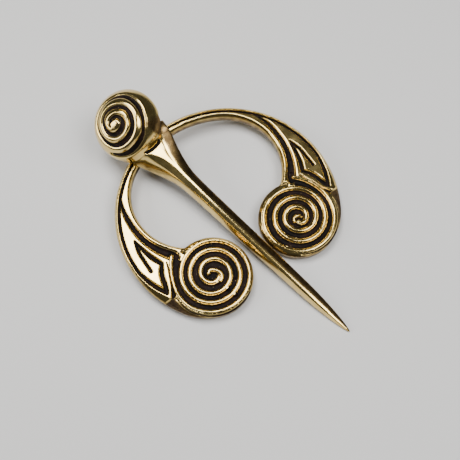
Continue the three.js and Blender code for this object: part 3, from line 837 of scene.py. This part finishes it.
def antiqued_bronze(name):
    """Polished bronze, brown where the mesh's tarnish and painted shade is high and black where its soot is.
    """
    material = bpy.data.materials.new(name)
    material.use_nodes = True
    tree = material.node_tree
    links = tree.links
    shader = tree.nodes["Principled BSDF"]
    place = tree.nodes.new("ShaderNodeTexCoord")

    def attribute(key):
        n = tree.nodes.new("ShaderNodeAttribute")
        n.attribute_name = key
        return n.outputs["Fac"]

    def noise(scale, detail, roughness=0.5):
        n = tree.nodes.new("ShaderNodeTexNoise")
        n.inputs["Scale"].default_value = scale
        n.inputs["Detail"].default_value = detail
        n.inputs["Roughness"].default_value = roughness
        links.new(place.outputs["Object"], n.inputs["Vector"])
        return n.outputs["Fac"]

    def maths(operation, a, b):
        n = tree.nodes.new("ShaderNodeMath")
        n.operation = operation
        for socket, value in zip(n.inputs, (a, b)):
            if isinstance(value, (int, float)):
                socket.default_value = value
            else:
                links.new(value, socket)
        return n.outputs[0]

    def ramp(value, low, high, to_low=0.0, to_high=1.0):
        n = tree.nodes.new("ShaderNodeMapRange")
        n.interpolation_type = "SMOOTHSTEP"
        n.inputs["From Min"].default_value = low
        n.inputs["From Max"].default_value = high
        n.inputs["To Min"].default_value = to_low
        n.inputs["To Max"].default_value = to_high
        links.new(value, n.inputs["Value"])
        return n.outputs["Result"]

    def mix(factor, a, b):
        n = tree.nodes.new("ShaderNodeMix")
        n.data_type = "RGBA"
        links.new(factor, n.inputs["Factor"])
        for socket, value in ((n.inputs["A"], a), (n.inputs["B"], b)):
            if isinstance(value, tuple):
                socket.default_value = (*value, 1)
            else:
                links.new(value, socket)
        return n.outputs["Result"]

    def spread(value, amount):
        """A noise centred on nought, scaled."""
        return maths("MULTIPLY", maths("SUBTRACT", value, 0.5), amount)

    broad = noise(260, 3)
    middle = noise(900, 4)
    grain = noise(2600, 4, 0.6)
    fine = noise(7000, 2)
    sooty = ramp(maths("ADD", attribute("soot"), spread(grain, 0.3)), 0.22, 0.5)
    # the brown mask: tarnish and painted shade from the mesh
    painted_shade_and_tarnish_mask = ramp(maths("ADD", attribute("tarnish_and_painted_shade"), spread(middle, 0.5)), 0.2, 0.85)

    gold = mix(ramp(broad, 0.35, 0.65), *GOLD)
    brown = mix(ramp(middle, 0.35, 0.65), *BROWN)
    soot = mix(ramp(noise(600, 3), 0.35, 0.7), *SOOT)
    soot = mix(ramp(noise(4800, 2), 0.7, 0.76), soot, SPECK)
    colour = mix(sooty, mix(painted_shade_and_tarnish_mask, gold, brown), soot)
    links.new(colour, shader.inputs["Base Color"])
    links.new(ramp(sooty, 0, 1, 1.0, 0.0), shader.inputs["Metallic"])
    polish = maths("ADD", 0.1, maths("MULTIPLY", middle, 0.11))
    dull = maths("ADD", polish, maths("MULTIPLY", painted_shade_and_tarnish_mask, 0.14))
    dull = maths("ADD", dull, maths("MULTIPLY", sooty, 0.45))
    links.new(dull, shader.inputs["Roughness"])
    shader.inputs["Specular IOR Level"].default_value = 0.12

    bump = tree.nodes.new("ShaderNodeBump")
    bump.inputs["Strength"].default_value = 0.35
    bump.inputs["Distance"].default_value = 0.00004
    relief = maths("ADD", maths("MULTIPLY", noise(1000, 5), 0.8), maths("MULTIPLY", fine, 0.25))
    relief = maths("MULTIPLY", relief, ramp(maths("MAXIMUM", sooty, painted_shade_and_tarnish_mask), 0, 1, 0.45, 1.6))
    links.new(relief, bump.inputs["Height"])
    links.new(bump.outputs["Normal"], shader.inputs["Normal"])
    return material


# ------------------------------------------------------------------ stage, light and camera

FLOOR_HALF = 0.6
FLOOR_LEVEL = -0.00002           # in metres, just under the lowest point of the meshes


def build_stage():
    mesh = bpy.data.meshes.new("floor")
    corners = [(x * FLOOR_HALF, y * FLOOR_HALF, FLOOR_LEVEL) for x, y in ((-1, -1), (1, -1), (1, 1), (-1, 1))]
    mesh.from_pydata(corners, [], [(0, 1, 2, 3)])
    floor = bpy.data.objects.new("floor", mesh)
    bpy.context.scene.collection.objects.link(floor)
    material = bpy.data.materials.new("pale_floor")
    material.use_nodes = True
    shader = material.node_tree.nodes["Principled BSDF"]
    shader.inputs["Base Color"].default_value = (0.72, 0.71, 0.69, 1)
    shader.inputs["Roughness"].default_value = 0.75
    mesh.materials.append(material)

    world = bpy.data.worlds.new("studio")
    bpy.context.scene.world = world
    world.use_nodes = True
    back = world.node_tree.nodes["Background"]
    back.inputs["Color"].default_value = (0.9, 0.95, 1.0, 1)
    back.inputs["Strength"].default_value = 0.07


def soft_light(name, place, target, size, power):
    """A white rectangular soft box, given in the ring's design frame in millimetres."""
    data = bpy.data.lights.new(name, "AREA")
    data.shape = "RECTANGLE"
    data.size = size[0] * MM
    data.size_y = size[1] * MM
    data.energy = power
    light = bpy.data.objects.new(name, data)
    bpy.context.scene.collection.objects.link(light)
    start = RING_PLACE @ Vector(place)
    end = RING_PLACE @ Vector(target)
    light.location = start
    light.rotation_euler = (start - end).to_track_quat("Z", "Y").to_euler()


def build_lights():
    soft_light("key", place=(-8, 100, 250), target=(0, 20, 0), size=(116, 132), power=0.62)
    soft_light("front", place=(66, -76, 215), target=(0, 0, 0), size=(120, 112), power=0.4)
    soft_light("left", place=(-170, 100, 130), target=(0, 0, 0), size=(80, 120), power=0.2)


# the camera, in the ring's design frame
CAMERA_LENS = 54.78
CAMERA_AZIMUTH = math.radians(-34.95)
CAMERA_ELEVATION = math.radians(72)
CAMERA_DISTANCE = 121.7
CAMERA_TARGET = Vector((-2.02, -3.45, 0))


def build_camera():
    data = bpy.data.cameras.new("camera")
    data.sensor_width = 36
    data.lens = CAMERA_LENS
    data.clip_start = 0.001
    camera = bpy.data.objects.new("camera", data)
    bpy.context.scene.collection.objects.link(camera)
    level = math.cos(CAMERA_ELEVATION)
    back = Vector((math.sin(CAMERA_AZIMUTH) * level, -math.cos(CAMERA_AZIMUTH) * level,
                   math.sin(CAMERA_ELEVATION)))
    right = Vector((math.cos(CAMERA_AZIMUTH), math.sin(CAMERA_AZIMUTH), 0))
    turn = Matrix((right, back.cross(right), back)).transposed().to_4x4()
    place = Matrix.Translation(CAMERA_TARGET + back * CAMERA_DISTANCE) @ turn
    world = RING_PLACE @ place
    camera.matrix_world = Matrix.LocRotScale(world.to_translation(), world.to_quaternion(), None)
    bpy.context.scene.camera = camera


# ------------------------------------------------------------------ the scene

bronze = antiqued_bronze("antiqued_bronze")

ring_piece = build_ring()
ring_piece.data.materials.append(bronze)
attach(ring_piece, "ring")
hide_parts("ring")

pin_piece = build_pin()
pin_piece.data.materials.append(bronze)
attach(pin_piece, "pin")
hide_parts("pin")

build_stage()
build_lights()
build_camera()
